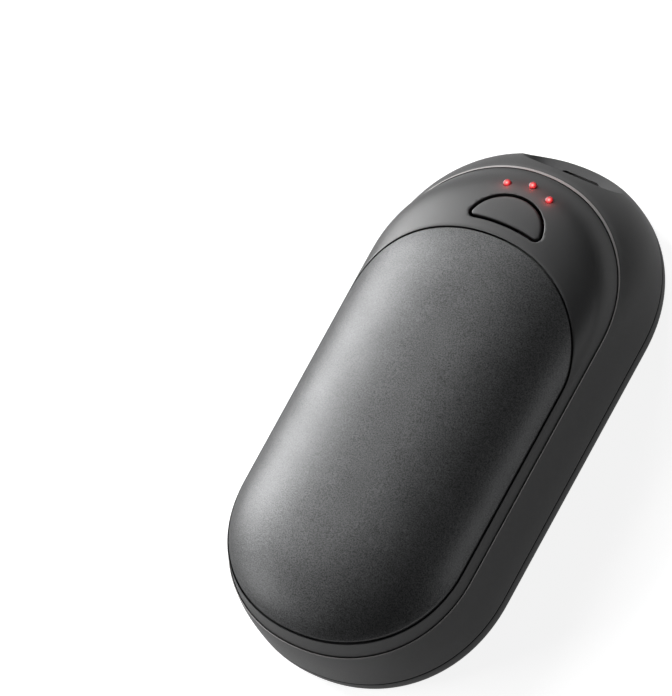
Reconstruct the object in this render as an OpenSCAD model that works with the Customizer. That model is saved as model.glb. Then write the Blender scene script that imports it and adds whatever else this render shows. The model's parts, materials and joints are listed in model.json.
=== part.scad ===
/* [Casing] */
// Length of the casing at its seam
body_length = 100; // [98:1:108]
// Width of the casing at its seam
body_width = 50; // [49:0.5:54]
// Height of the seam above the flat back
seam_height = 5; // [4.8:0.1:6]
// Height of the side band from the seam to the foot of the crown
band_height = 10.5; // [10:0.5:12]
// Rise of the crown above its foot
crown_rise = 9; // [9:0.25:11]
// Wall thickness of the moulded casing pieces
wall = 1.6; // [1.4:0.1:1.8]
// How far the crown's foot lies inside the seam at the long sides
side_setback = 1.95; // [1.5:0.05:2.2]
// How far the crown's foot lies inside the seam at the button end
top_setback = 6.2; // [5:0.2:7]
// How far the crown's foot lies inside the seam at the plain end
bottom_setback = 0.6; // [0.4:0.1:1.5]
// Width of the rounded edge between the seam and the flat back
back_edge = 6; // [5:0.25:7]

/* [Front panel] */
// Margin between the panel and the crown's foot at the long sides
panel_side_margin = 1; // [0.8:0.1:1.5]
// Margin between the panel and the crown's foot at the button end
panel_top_margin = 15.8; // [15.4:0.2:17]
// Margin between the panel and the crown's foot at the plain end
panel_bottom_margin = 1.55; // [1.2:0.05:2.5]
// Height of the panel's pillow above the crown
panel_proud = 1; // [0.8:0.1:1.5]
// Thickness of the front panel's sheet
panel_sheet = 1.2; // [1:0.1:1.4]
// Depth of the shelf that the panel sits on, below the crown
shelf_depth = 0.8; // [0.6:0.1:0.9]
// Visible gap round the panel
panel_gap = 0.3; // [0.2:0.05:0.4]

/* [Back panel] */
// Margin between the back panel and the edge of the flat back
back_panel_margin = 1; // [0.8:0.1:2]
// Thickness of the back panel
back_panel_sheet = 1; // [0.8:0.1:1.2]

/* [Button and lamps] */
// Width of the crescent button
button_width = 14.4; // [12:0.2:15]
// Height of the button's curved top edge above its middle
button_bow = 6.6; // [6:0.1:7]
// Distance from the panel's edge to the button's lower edge
button_offset = 2.7; // [2.5:0.1:3.2]
// Gap round the button
button_gap = 0.3; // [0.25:0.05:0.4]
// How far the button travels when pressed
button_travel = 0.4; // [0.3:0.05:0.5]
// Diameter of each lamp lens
lamp_diameter = 1.4; // [1.2:0.1:1.6]
// Distance between neighbouring lamps across the width
lamp_pitch = 4.3; // [4:0.1:4.6]
// How far the middle lamp stands above its neighbours
lamp_bow = 1.4; // [1:0.1:1.6]
// Distance from the top of the button to the middle lamp
lamp_offset = 3.1; // [2.8:0.1:3.4]

/* [Strap scoop] */
// Half width of the hollow scooped from the button end
scoop_reach = 13; // [10:0.5:13]
// Depth of the scoop measured in from its centre
scoop_depth = 8; // [7:0.25:8.5]
// Half height of the scoop
scoop_rise = 6; // [5.5:0.25:6.5]
// Length of the strap slot through the scoop's floor
slot_length = 8; // [6:0.5:9]
// Width of the strap slot
slot_width = 2; // [1.8:0.1:2.4]

/* [Port cover] */
// Height of the port cover above the seam
cover_above = 4.7; // [4.5:0.1:5.2]
// Depth of the port cover below the seam
cover_below = 1.8; // [1.7:0.1:2.2]
// Thickness of the port cover
cover_sheet = 1.8; // [1.6:0.1:2]
// Gap round the port cover
cover_gap = 0.2; // [0.15:0.05:0.3]
// Length of the pull tab along the side
tab_length = 5.6; // [5:0.2:7]
// Height of the pull tab
tab_height = 5; // [4:0.2:5.4]
// How far the pull tab stands proud
tab_proud = 0.7; // [0.5:0.1:1.2]
// How far the cover swings open, in degrees
cover_swing = 90; // [60:5:90]

/* [Charge socket] */
// Outer width of the charge socket's shell
socket_width = 8.94; // [8.9:0.01:9]
// Outer height of the charge socket's shell
socket_height = 3.26; // [3.2:0.01:3.3]
// Depth of the charge socket
socket_depth = 7.35; // [6.5:0.05:7.4]
// Sheet thickness of the charge socket's shell
socket_sheet = 0.3; // [0.25:0.05:0.35]

/* [Battery] */
// Room left beside each cell in half the casing's width
cell_side_room = 6.6; // [6.5:0.1:7]
// Room left below and above the cells in the casing's height
cell_stack_room = 6.1; // [6:0.1:6.6]
// Gap between the cells and the circuit board
board_gap = 2; // [2:0.25:4]
// Thickness of the heater films
heater_film = 0.25; // [0.2:0.05:0.3]
// Thickness of the rear foam pad
rear_foam = 0.65; // [0.6:0.05:0.8]
// Thickness of the front foam pad
front_foam = 2.8; // [2.4:0.1:3]
// Thickness of the nickel strips
strip_sheet = 0.15; // [0.1:0.05:0.2]

/* [Board and fasteners] */
// Thickness of the circuit board
board_sheet = 1; // [0.8:0.1:1.2]
// Radius of the screw posts
post_radius = 2.1; // [2:0.1:2.3]
// Diameter of the casing screws' thread
screw_diameter = 2; // [1.8:0.1:2]
// Diameter of the casing screws' heads
head_diameter = 3.4; // [3:0.1:3.5]
// Height of the casing screws' heads
head_height = 1.2; // [1:0.1:1.3]
// Length of the casing screws below the head
screw_length = 12; // [10:0.5:13]

/* [Hidden] */

// Smoothness of round pieces, points in a quarter of an outline, and overrun of cuts
$fn = 40;
quarter = 14;
over = 1;
// Powers of the superellipses that round the ends and the crown, and of the edge profiles
corner_power = 2.12;
crown_power = 2.4;
band_power = 2.4;
back_power = 2.6;
pillow_power = 3;
// Gap between pieces fixed to each other, gap between pieces that must stay clear, and least web
seat = 0.1;
slack = 0.3;
web = 1.2;
// Sheet of the bezel's lip, and how far it reaches down into the frame and up into the bezel
lip_sheet = 0.9;
lip_depth = 1;
lip_root = 2.9;

crown_z = seam_height + band_height;
top_y = body_length / 2;
half_w = body_width / 2;

// An outline is [half width, top cap, bottom cap, bottom cap centre, top cap centre]
crown_top_cap_share = 0.48;
crown_bottom_cap_share = 0.454;
panel_top_cap_share = 0.384;
panel_bottom_cap_share = 0.422;
crown_top_cap = crown_top_cap_share * body_width;
crown_bottom_cap = crown_bottom_cap_share * body_width;
panel_top_cap = panel_top_cap_share * body_width;
panel_bottom_cap = panel_bottom_cap_share * body_width;
seam_form = [half_w, half_w, half_w, half_w - top_y, top_y - half_w];
crown_form = [
  half_w - side_setback,
  crown_top_cap,
  crown_bottom_cap,
  crown_bottom_cap + bottom_setback - top_y,
  top_y - top_setback - crown_top_cap
];
panel_form = [
  crown_form[0] - panel_side_margin,
  panel_top_cap,
  panel_bottom_cap,
  panel_bottom_cap + panel_bottom_margin + bottom_setback - top_y,
  top_y - top_setback - panel_top_margin - panel_top_cap
];

// Shares of the way up or in at which the lofts have a ring
edge_shares = [0, 0.06, 0.16, 0.34, 0.6];
band_shares = [0.25, 0.5, 0.75, 0.9];
crown_shares = [0.985, 0.95, 0.89, 0.8, 0.68, 0.53, 0.36, 0.18, 0.04];
pillow_shares = [0.985, 0.96, 0.92, 0.86, 0.77, 0.64, 0.48, 0.28, 0.06];
under_shares = [0.06, 0.3, 0.5, 0.66, 0.76, 0.82];
film_shares = [0.06, 0.35, 0.6, 0.8, 1];
foot_shares = [0.88, 0.94, 1];

function soft_pow(v) = sign(v) * pow(abs(v), 2 / corner_power);
function grown(f, d) = [f[0] + d, f[1] + d, f[2] + d, f[3], f[4]];
function scaled(f, k) = [f[0] * k, f[1] * k, f[2] * k, f[3], f[4]];
function mixed(f, g, k) = f + (g - f) * k;
function top_point(f, a) = [f[0] * soft_pow(cos(a)), f[4] + f[1] * soft_pow(sin(a))];
function bottom_point(f, a) = [f[0] * soft_pow(cos(a)), f[3] + f[2] * soft_pow(sin(a))];
function outline(f) = concat(
  [for (i = [0:quarter]) top_point(f, 90 + 90 * i / quarter)],
  [for (i = [0:quarter]) bottom_point(f, 180 + 90 * i / quarter)],
  [for (i = [1:quarter]) bottom_point(f, 270 + 90 * i / quarter)],
  [for (i = [0:quarter - 1]) top_point(f, 90 * i / quarter)]
);
function level(f, z) = [for (p = outline(f)) [p[0], p[1], z]];

// How far out a point lies in an outline, and the heights of the crown and of the panel over it
function share(f, p) = pow(
  pow(abs(p[0]) / f[0], corner_power)
  + pow(max(p[1] - f[4], 0) / f[1], corner_power)
  + pow(max(f[3] - p[1], 0) / f[2], corner_power),
  1 / corner_power
);
function crown_arc(k) = pow(max(1 - pow(k, crown_power), 0), 1 / crown_power);
function crown_height(p) = crown_z + crown_rise * crown_arc(share(crown_form, p));
function panel_height(p) = crown_height(p)
  + panel_proud * max(1 - pow(share(panel_form, p), pillow_power), 0);
function draped(f, k, lift) = [for (p = outline(scaled(f, k))) [p[0], p[1], panel_height(p) + lift]];
function sunk(f, k, lift) = [for (p = outline(scaled(f, k))) [p[0], p[1], crown_height(p) + lift]];

// Outline of the casing's side at a height
function edge_loss(z) =
  back_edge * (1 - pow(1 - pow(1 - max(z, 0) / seam_height, back_power), 1 / back_power));
function side_form(z) =
  z < seam_height ? grown(seam_form, -edge_loss(z))
  : mixed(seam_form, crown_form, pow(min((z - seam_height) / band_height, 1), band_power));
side_levels = concat(
  [for (k = edge_shares) k * seam_height],
  [seam_height],
  [for (k = band_shares) seam_height + k * band_height],
  [crown_z]
);
level_gap = seam_height / 100;

// Joins rings of points into one closed solid, from the lowest ring to the last
module loft(rings) {
  m = len(rings[0]);
  n = len(rings);
  side = [for (k = [0:n - 2]) for (i = [0:m - 1]) each [
    [k * m + i, (k + 1) * m + i, (k + 1) * m + (i + 1) % m],
    [k * m + i, (k + 1) * m + (i + 1) % m, k * m + (i + 1) % m]
  ]];
  strips = [for (i = [0:m / 2 - 1]) each [
    if (i < m / 2 - 1) [i, i + 1, m - i - 1],
    if (i > 0) [i, m - i - 1, m - i]
  ]];
  top = [for (s = strips) [for (j = [2, 1, 0]) s[j] + (n - 1) * m]];
  polyhedron(points = [for (r = rings) each r], faces = concat(strips, side, top));
}

// The casing's sides between two heights, drawn in by an inset
module side_body(inset, low, high) {
  inner = [for (z = side_levels) if (z > low + level_gap && z < high - level_gap) z];
  loft([for (z = concat([low], inner, [high])) level(grown(side_form(z), -inset), z)]);
}

// The crown above a height, drawn in by an inset
module crown_body(inset, low) {
  f = grown(crown_form, -inset);
  rise = crown_rise - inset;
  loft(concat(
    [level(f, low), level(f, crown_z)],
    [for (k = crown_shares) level(scaled(f, k), crown_z + rise * crown_arc(k))]
  ));
}

module prism(f, low, high) {
  translate([0, 0, low]) linear_extrude(high - low) polygon(outline(f));
}

module box(size) {
  translate([-size[0] / 2, -size[1] / 2, 0]) cube(size);
}

// A flat bar with round ends, along x
module bar(length, width) {
  square([length - width, width], center = true);
  for (side = [-1, 1]) translate([side * (length - width) / 2, 0]) circle(width / 2);
}

// A rectangle with round corners
module rounded(length, width, r) {
  square([length - 2 * r, width], center = true);
  square([length, width - 2 * r], center = true);
  for (x = [-1, 1]) for (y = [-1, 1]) translate([x * (length / 2 - r), y * (width / 2 - r)]) circle(r);
}

// A sheet that follows the front panel between two depths below its top
module drape(f, low, high) {
  last = len(film_shares) - 1;
  loft(concat(
    [for (k = film_shares) draped(f, k, low)],
    [for (i = [last:-1:0]) draped(f, film_shares[i], high)]
  ));
}

// A lead: a tube with eight sides swept along a list of points
lead_sides = 8;
function unit(v) = v / norm(v);
function heading(points, i) = unit(
  (i < len(points) - 1 ? unit(points[i + 1] - points[i]) : [0, 0, 0])
  + (i > 0 ? unit(points[i] - points[i - 1]) : [0, 0, 0])
);
function tube_rings(points, r, across, i = 0) = i == len(points) ? [] :
  let (
    t = heading(points, i),
    a = unit(across - t * (across * t)),
    b = cross(t, a)
  )
  concat(
    [[for (j = [0:lead_sides - 1]) let (w = 360 * j / lead_sides) points[i] + r * (a * cos(w) + b * sin(w))]],
    tube_rings(points, r, a, i + 1)
  );
module lead(points, diameter) {
  across_share = [0.6, 0.3, 0.2];
  loft(tube_rings(points, diameter / 2, across_share));
}

// Scoop and strap slot
scoop_overhang = 2;
scoop_y = top_y + scoop_overhang;
scoop_z = seam_height + scoop_rise;
slot_inset = 2.8;
slot_y = top_y - slot_inset;

// Button: a crescent between an ellipse and a curve that runs along the panel's edge
crescent_base = grown(panel_form, button_offset);
function base_curve(x) = crescent_base[4] + crescent_base[1]
  * pow(1 - pow(abs(x) / crescent_base[0], corner_power), 1 / corner_power);
button_half = button_width / 2;
button_side_y = base_curve(button_half);
button_top_y = button_side_y + button_bow;
button_round = 0.9;
button_steps = 12;
flange_reach = 0.9;
flange_sheet = 0.8;
flange_gap = 0.15;
stem_radius = 1.4;
stem_y = (button_side_y + button_top_y) / 2;

// Port cover: a flap round the corner, hinged at its end near the scoop
cover_low = seam_height - cover_below;
cover_high = seam_height + cover_above;
cover_mid = (cover_low + cover_high) / 2;
cover_depth = cover_sheet + cover_gap;
bay_wall = 1.4;
bay_depth = cover_depth + bay_wall;
bay_low = cover_low - cover_gap - web;
bay_high = cover_high + cover_gap + web;
bay_lead = 6;
knuckle_radius = 0.6;
hinge_depth = knuckle_radius + seat;
hinge_angle = 118;
hinge_point = top_point(grown(side_form(cover_mid), -hinge_depth), hinge_angle);
hinge_radius = norm(hinge_point - [0, seam_form[4]]);
hinge_polar = atan2(hinge_point[1] - seam_form[4], hinge_point[0]);
relief = hinge_depth * tan(cover_swing / 2) + slack + seat;
gap_angle = atan(cover_gap / hinge_radius);
neck_width = 1.6;
neck_height = 2;
anchor_head = [0.8, 3, 3];
anchor_wall = top_point(
  grown(side_form(cover_mid + anchor_head[2] / 2), -bay_depth), hinge_angle - bay_lead
);
neck_length = hinge_radius + slack - norm(anchor_wall - [0, seam_form[4]]);
tab_corner = 1.2;
tab_root = 1.2;
tab_edge = 0.35;
tab_angle = 180 - asin((tab_length / 2 + cover_gap) / half_w);

// Charge socket, in the middle of the port cover
port_angle = 150;
socket_mouth = half_w - cover_depth - 2 * slack;
hole_gap = 0.2;
socket_back = 1;
tongue_width = 6.69;
tongue_sheet = 0.7;
tongue_back = 2;
tongue_short = 0.8;

// Board: it lies on the charge socket and the posts, and carries the switch under the button
switch_side = 6;
switch_height = 3.5;
board_margin = 0.23;
board_low = cover_mid + socket_height / 2;
board_high = board_low + board_sheet;
board_near = stem_y - switch_side / 2 - board_margin;
board_far = scoop_y - scoop_depth - wall - slack;
board_form = grown(side_form(board_high), -bay_depth - slack);
switch_high = board_high + switch_height;
plunger_radius = 1.7;
plunger_height = 1.5;
plunger_sunk = 1.4;
plunger_top = switch_high + plunger_height;

// Lamps: pins of one clear comb, above three diodes
lamp_radius = lamp_diameter / 2;
lamp_mid_y = button_top_y + lamp_offset;
lamp_places = [
  [-lamp_pitch, lamp_mid_y - lamp_bow],
  [0, lamp_mid_y],
  [lamp_pitch, lamp_mid_y - lamp_bow]
];
diode_size = [1.6, 0.8, 0.6];
pin_low = board_high + diode_size[2] + slack;
comb_sheet = 1;

// Parts in a row on the board: beside the switch, then midway to the board's edge
part_inset = 3;
part_row = board_near + part_inset;
part_gap = 1.2;
inductor_size = [4.4, 4.4, 3];
inductor_core = 1.6;
inductor_x = -switch_side / 2 - part_gap - inductor_size[0] / 2;
control_size = [4, 4, 1.2];
control_x = switch_side / 2 + part_gap + control_size[0] / 2;
charger_size = [4, 4, 0.9];
chip_leg = [0.5, 0.3];
chip_pitch = 1;
battery_socket_size = [6, 4, 3.4];
plug_size = [5, 2.2, 3.4];
plug_depth = 2;
row_high = part_row + battery_socket_size[1] / 2;
row_reach = board_form[0]
  * pow(1 - pow(max(row_high - board_form[4], 0) / board_form[1], corner_power), 1 / corner_power);
charger_x = (inductor_x - inductor_size[0] / 2 - row_reach) / 2;
plug_x = (control_x + control_size[0] / 2 + row_reach) / 2;
lead_diameter = 1.1;
thin_lead = 0.7;
bead_radius = 1;

// Screws: the heads lie under the back panel, the shanks end in the bezel's bosses
head_clearance = 0.2;
screw_clearance = 0.1;
base_web = 0.8;
post_base_radius = head_diameter / 2 + head_clearance + base_web;
post_inset = 10;
post_spread = 5;
lock_spread = 8.5;
post_low_y = post_inset - top_y;
post_high_y = part_row + inductor_size[1] / 2 + slack + post_radius;
post_places = [
  [-post_spread, post_low_y],
  [post_spread, post_low_y],
  [-lock_spread, post_high_y],
  [lock_spread, post_high_y]
];
head_low = back_panel_sheet + head_clearance;
head_seat = head_low + head_height;
hex_share = 0.48;

// Capacitors, between the charger chip, the left post and the board's edge
capacitor_size = [1.6, 0.8, 0.8];
capacitor_pitch = [2.2, 1.3];
capacitor_place = [
  -lock_spread - post_radius - slack - (capacitor_size[0] + capacitor_pitch[0]) / 2,
  part_row + charger_size[1] / 2 + chip_leg[0] + slack + capacitor_size[1] / 2 + capacitor_pitch[1]
];

// Forms of the panels' windows, each within its panel and clear of the screw posts
ledge_width = 3;
back_panel_form = grown(seam_form, -back_edge - back_panel_margin);
back_window = [
  back_panel_form[0] - ledge_width,
  post_high_y - post_base_radius - slack - back_panel_form[4],
  back_panel_form[3] - post_low_y - post_base_radius - slack,
  back_panel_form[3],
  back_panel_form[4]
];
front_window = [
  panel_form[0] - ledge_width,
  panel_form[1] - ledge_width,
  panel_form[3] - post_low_y - post_radius - web,
  panel_form[3],
  panel_form[4]
];
foam_margin = 2.2;
heater_margin = 1;

// Battery: on the rear foam, from the lower screws to the board, as thick as the casing has room for
cell_diameter = min(half_w - cell_side_room, crown_z + crown_rise - cell_stack_room);
floor_z = back_panel_sheet + heater_film + rear_foam;
cell_radius = cell_diameter / 2;
cell_z = floor_z + seat + cell_radius;
cell_x = cell_radius + seat;
cell_low_y = post_low_y + post_base_radius + slack;
cell_high_y = board_near - board_gap;
cell_length = cell_high_y - cell_low_y;
nub_radius = 2.9;
nub_height = 0.35;
insulator_sheet = 0.2;
insulator_bore = 3.4;
insulator_margin = 0.8;
strip_y = cell_high_y + nub_height;
strip_reach = 3;
strip_half_height = 2.4;
saddle_sheet = 2;
saddle_shares = [0.11, 0.87];
saddle_places = [for (k = saddle_shares) cell_low_y + k * cell_length];
rib_half_width = 6;
spine_half_width = 2;
spine_share = 0.4;

// Routes of the leads, from what each is soldered to
landing_inset = 0.4;
landing = [board_near + landing_inset, board_high + thin_lead / 2 + seat];
plug_top = board_high + battery_socket_size[2] - plug_depth + plug_size[2];
valley_rise = 3.1;
valley_z = cell_z + valley_rise;
bead_rise = 4.8;
bead_z = cell_z + bead_rise;
red_route = [
  [plug_x + 1.2, part_row, plug_top],
  [plug_x + 1.2, part_row, plug_top + 0.9],
  [plug_x + 0.6, part_row - 1, plug_top + 1.6],
  [plug_x - 1, part_row - 3, plug_top + 1.2],
  [plug_x - 2.2, strip_y + 1.2, plug_top - 0.4],
  [plug_x - 2.4, strip_y + 0.8, cell_z + 1],
  [plug_x - 2.4, strip_y + 0.8, cell_z - 1]
];
black_route = [
  [plug_x - 1.2, part_row, plug_top],
  [plug_x - 1.2, part_row, plug_top + 1],
  [plug_x - 2, part_row - 0.8, plug_top + 2],
  [plug_x - 7, board_near + 0.2, plug_top + 2.4],
  [2, cell_high_y + 1.9, cell_z + 4.6],
  [0, cell_high_y + 1.2, cell_z + 3.8],
  [0, cell_high_y - 0.8, valley_z],
  [0, 0, valley_z],
  [0, cell_low_y + 0.6, valley_z],
  [0, cell_low_y - 0.8, cell_z + 2.9],
  [0, cell_low_y - 0.8, cell_z]
];
bead_y = 5;
thermistor_route = [
  [0, bead_y + bead_radius / 2, bead_z],
  [0, bead_y + 4, bead_z],
  [0, cell_high_y + 0.8, bead_z],
  [-2.4, cell_high_y + 1.5, cell_z + 4.2],
  [-3.7, board_near, board_high + 2.4],
  [-3.7, landing[0], landing[1]]
];
function front_route(x) = [
  [x, front_window[4] + front_window[1] - 2.2, crown_z + 7.6],
  [x, front_window[4] + front_window[1] - 1.2, crown_z + 6],
  [x, front_window[4] + front_window[1] + 0.2, crown_z + 5.6],
  [x, cell_high_y + 0.4, crown_z + 5.1],
  [x, cell_high_y + 1.3, crown_z + 3.4],
  [x, cell_high_y + 1.5, cell_z + 5],
  [x, board_near, board_high + 3],
  [x, landing[0], landing[1]]
];
function rear_route(x) = [
  [x, back_window[4] + back_window[1] - 0.6, back_panel_sheet + heater_film + thin_lead / 2 + seat],
  [x, board_near + 0.6, floor_z + 1],
  [x, cell_high_y + 1.25, floor_z + 3],
  [x, cell_high_y + 1.25, board_high],
  [x, board_near - 0.2, board_high + 1],
  [x, landing[0], landing[1]]
];
front_lead_places = [-4.9, -6.1];
rear_lead_places = [3.6, 4.6];

// The crescent's outline, moved out by a distance
module crescent(distance) {
  offset(r = distance + button_round, $fn = 24) offset(delta = -button_round) polygon(concat(
    [for (i = [0:button_steps]) let (a = 180 * i / button_steps)
      [button_half * cos(a), button_side_y + button_bow * sin(a)]],
    [for (i = [1:button_steps - 1]) let (x = button_half * (2 * i / button_steps - 1)) [x, base_curve(x)]]
  ));
}

// A flat shape stood up to a depth below the crown's surface
module under_crown(depth) {
  intersection() {
    translate([0, 0, crown_z]) linear_extrude(crown_rise + over) children();
    translate([0, 0, -depth]) crown_body(0, crown_z);
  }
}

// The sector of the casing between two angles, with a square end of a given width
module sector(first, last, extra, low, high) {
  reach = grown(seam_form, half_w / 4);
  steps = 8;
  translate([0, 0, low]) linear_extrude(high - low) polygon(concat(
    [for (i = [0:steps]) top_point(reach, first + (last - first) * i / steps)],
    [[-reach[0], seam_form[4] - extra], [0, seam_form[4] - extra]]
  ));
}

// Places children round the centre of the button end: x runs outwards, y along the edge
module at_polar(angle) {
  translate([0, seam_form[4], 0]) rotate([0, 0, angle]) children();
}

// Stands a flat shape in the charge socket's way: it runs from a radius outwards
module along_port(start, length) {
  at_polar(port_angle) translate([start, 0, cover_mid]) rotate([90, 0, 90]) linear_extrude(length) children();
}

module scoop(grow) {
  r = scoop_depth + grow;
  translate([0, scoop_y, scoop_z]) scale([(scoop_reach + grow) / r, 1, (scoop_rise + grow) / r])
    sphere(r, $fn = 36);
}

module strap_slot(grow, low, high) {
  translate([0, slot_y, low]) linear_extrude(high - low) bar(slot_length + 2 * grow, slot_width + 2 * grow);
}

// The room that the two cells take up
module cell_room() {
  for (side = [-1, 1]) translate([side * cell_x, cell_low_y - over, cell_z]) rotate([-90, 0, 0])
    cylinder(cell_length + 2 * over, r = cell_radius + seat);
}

// What is left standing inside the casing: the port's wall and the slot's wall
module inner_walls(low, high) {
  strap_slot(web, low, high);
  difference() {
    sector(hinge_angle - bay_lead, 180, cover_gap + web, max(low, bay_low), min(high, bay_high));
    side_body(bay_depth, max(low, bay_low) - over, min(high, bay_high) + over);
  }
}

// Everything that is cut out for the port cover, its hinge, its anchor and the socket
module port_cuts() {
  low = cover_low - cover_gap;
  high = cover_high + cover_gap;
  difference() {
    sector(hinge_angle - gap_angle, 180, cover_gap, low, high);
    side_body(cover_depth, low - over, high + over);
  }
  translate([hinge_point[0], hinge_point[1], low]) cylinder(high - low, r = knuckle_radius + cover_gap);
  at_polar(hinge_polar) {
    translate([hinge_radius, -relief, low]) cube([relief + over, relief, high - low]);
    translate([hinge_radius - neck_length - over, -neck_width - seat, cover_mid - neck_height / 2 - seat])
      cube([neck_length + over, neck_width + seat, neck_height + 2 * seat]);
  }
  along_port(socket_mouth - socket_depth, socket_depth + cover_depth)
    bar(socket_width + 2 * hole_gap, socket_height + 2 * hole_gap);
}

module back_shell() {
  color([0.13, 0.13, 0.14]) difference() {
    union() {
      difference() {
        side_body(0, 0, seam_height);
        difference() {
          side_body(wall, floor_z, seam_height + over);
          inner_walls(floor_z - over, seam_height + 2 * over);
          difference() {
            for (y = saddle_places) translate([0, y, floor_z - over])
              box([body_width, saddle_sheet, seam_height + 2 * over]);
            translate([-cell_x, cell_low_y, floor_z - 2 * over])
              cube([2 * cell_x, cell_length, seam_height + 4 * over]);
            cell_room();
          }
        }
      }
      for (p = post_places) translate([p[0], p[1], back_panel_sheet]) {
        cylinder(board_low - back_panel_sheet, r = post_radius);
        cylinder(head_seat + web - back_panel_sheet, r = post_base_radius);
      }
    }
    prism(grown(back_panel_form, seat), -over, back_panel_sheet);
    prism(back_window, 0, floor_z + seat);
    for (p = post_places) translate([p[0], p[1], 0]) {
      cylinder(board_low + over, r = screw_diameter / 2 + screw_clearance);
      cylinder(head_seat, r = head_diameter / 2 + head_clearance);
    }
    strap_slot(0, -over, seam_height + over);
    port_cuts();
  }
}

module side_frame() {
  color([0.15, 0.15, 0.16]) difference() {
    side_body(0, seam_height, crown_z);
    difference() {
      side_body(wall, seam_height - over, crown_z + over);
      scoop(wall);
      inner_walls(seam_height - 2 * over, scoop_z);
    }
    scoop(0);
    strap_slot(0, seam_height - over, scoop_z);
    port_cuts();
  }
}

// The casing's front: a crowned ring with a pocket, a lip inside the frame and four bosses
module front_bezel() {
  color([0.17, 0.17, 0.18]) difference() {
    union() {
      difference() {
        crown_body(0, crown_z);
        crown_body(wall, crown_z - over);
      }
      difference() {
        side_body(wall + seat, crown_z - lip_depth, crown_z + lip_root);
        side_body(wall + seat + lip_sheet, crown_z - lip_depth - over, crown_z + lip_root + over);
      }
      intersection() {
        crown_body(wall / 2, board_low);
        for (p = post_places) translate([p[0], p[1], p[1] > 0 ? board_high : board_low])
          cylinder(crown_z + crown_rise, r = post_radius);
      }
    }
    difference() {
      prism(grown(panel_form, panel_gap), crown_z, crown_z + crown_rise + over);
      translate([0, 0, -shelf_depth]) crown_body(0, crown_z - over);
    }
    prism(front_window, crown_z - over, crown_z + crown_rise + over);
    translate([0, 0, crown_z]) linear_extrude(crown_rise + over) crescent(button_gap / 2);
    for (p = lamp_places) translate([p[0], p[1], crown_z]) cylinder(crown_rise, r = lamp_radius + seat / 2);
    for (p = post_places) translate([p[0], p[1], 0])
      cylinder(head_seat + screw_length + over, r = screw_diameter / 2 - screw_clearance);
  }
}

module front_heat_panel() {
  color([0.3, 0.3, 0.31]) loft(concat(
    [for (k = under_shares) draped(panel_form, k, -panel_sheet)],
    [for (k = foot_shares) sunk(panel_form, k, seat - shelf_depth)],
    [sunk(panel_form, 1, 0)],
    [for (k = pillow_shares) draped(panel_form, k, 0)]
  ));
}

module back_heat_panel() {
  color([0.3, 0.3, 0.31]) prism(back_panel_form, 0, back_panel_sheet);
}

module power_button() {
  flange_top = wall + flange_gap;
  color([0.2, 0.2, 0.21]) {
    difference() {
      union() {
        under_crown(0) crescent(-button_gap / 2);
        under_crown(flange_top) crescent(flange_reach);
      }
      translate([0, 0, -flange_top - flange_sheet]) crown_body(0, crown_z);
    }
    translate([0, stem_y, plunger_top])
      cylinder(crown_height([0, stem_y]) - wall - plunger_top, r = stem_radius);
  }
}

module light_guide() {
  color([0.85, 0.5, 0.45]) {
    for (p = lamp_places) translate([p[0], p[1], pin_low])
      cylinder(crown_height([p[0], p[1] + lamp_radius]) - pin_low, r = lamp_radius);
    for (p = [lamp_places[0], lamp_places[2]]) hull() for (q = [p, lamp_places[1]])
      translate([q[0], q[1], crown_z]) cylinder(comb_sheet, r = lamp_radius, $fn = 16);
  }
}

module port_cover() {
  color([0.1, 0.1, 0.11]) {
    intersection() {
      side_body(0, cover_low, cover_high);
      union() {
        difference() {
          sector(hinge_angle, 180, 0, cover_low - over, cover_high + over);
          side_body(cover_sheet, cover_low - 2 * over, cover_high + 2 * over);
        }
        translate([hinge_point[0], hinge_point[1], cover_low - over])
          cylinder(cover_high - cover_low + 2 * over, r = knuckle_radius);
      }
    }
    at_polar(tab_angle) translate([half_w - tab_root, 0, cover_mid]) rotate([90, 0, 90]) hull() {
      linear_extrude(tab_root + tab_proud - tab_edge) rounded(tab_length, tab_height, tab_corner);
      linear_extrude(tab_root + tab_proud)
        rounded(tab_length - 2 * tab_edge, tab_height - 2 * tab_edge, tab_corner - tab_edge);
    }
  }
}

// The part of the soft cover that is held in the casing's wall
module cover_anchor() {
  color([0.1, 0.1, 0.11]) difference() {
    at_polar(hinge_polar) translate([hinge_radius - neck_length, -neck_width, cover_mid]) {
      translate([0, 0, -neck_height / 2]) cube([neck_length, neck_width - seat, neck_height]);
      translate([-anchor_head[0], neck_width / 2 - anchor_head[1] / 2, -anchor_head[2] / 2])
        cube(anchor_head);
    }
    translate([hinge_point[0], hinge_point[1], cover_low])
      cylinder(cover_high - cover_low, r = knuckle_radius + cover_gap);
  }
}

module charge_socket() {
  inner = [socket_width - 2 * socket_sheet, socket_height - 2 * socket_sheet];
  color([0.75, 0.75, 0.77]) difference() {
    along_port(socket_mouth - socket_depth, socket_depth) bar(socket_width, socket_height);
    along_port(socket_mouth - socket_depth + socket_back, socket_depth) bar(inner[0], inner[1]);
  }
}

module socket_tongue() {
  start = socket_mouth - socket_depth + socket_back;
  inner = [socket_width - 2 * socket_sheet - seat, socket_height - 2 * socket_sheet - seat];
  color([0.12, 0.12, 0.13]) {
    along_port(start, tongue_back) bar(inner[0], inner[1]);
    along_port(start, socket_depth - socket_back - tongue_short)
      square([tongue_width, tongue_sheet], center = true);
  }
}

module main_board() {
  reach = body_width;
  color([0.1, 0.3, 0.18]) difference() {
    intersection() {
      prism(board_form, board_low, board_high);
      translate([-reach / 2, board_near, board_low - over])
        cube([reach, board_far - board_near, board_sheet + 2 * over]);
    }
    for (p = post_places) translate([p[0], p[1], board_low - over])
      cylinder(board_sheet + 2 * over, r = screw_diameter / 2 + screw_clearance);
  }
}

module tact_switch() {
  color([0.2, 0.2, 0.2]) difference() {
    translate([0, stem_y, board_high]) box([switch_side, switch_side, switch_height]);
    translate([0, stem_y, switch_high - plunger_sunk - button_travel - seat])
      cylinder(switch_height, r = plunger_radius + seat);
  }
}

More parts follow.
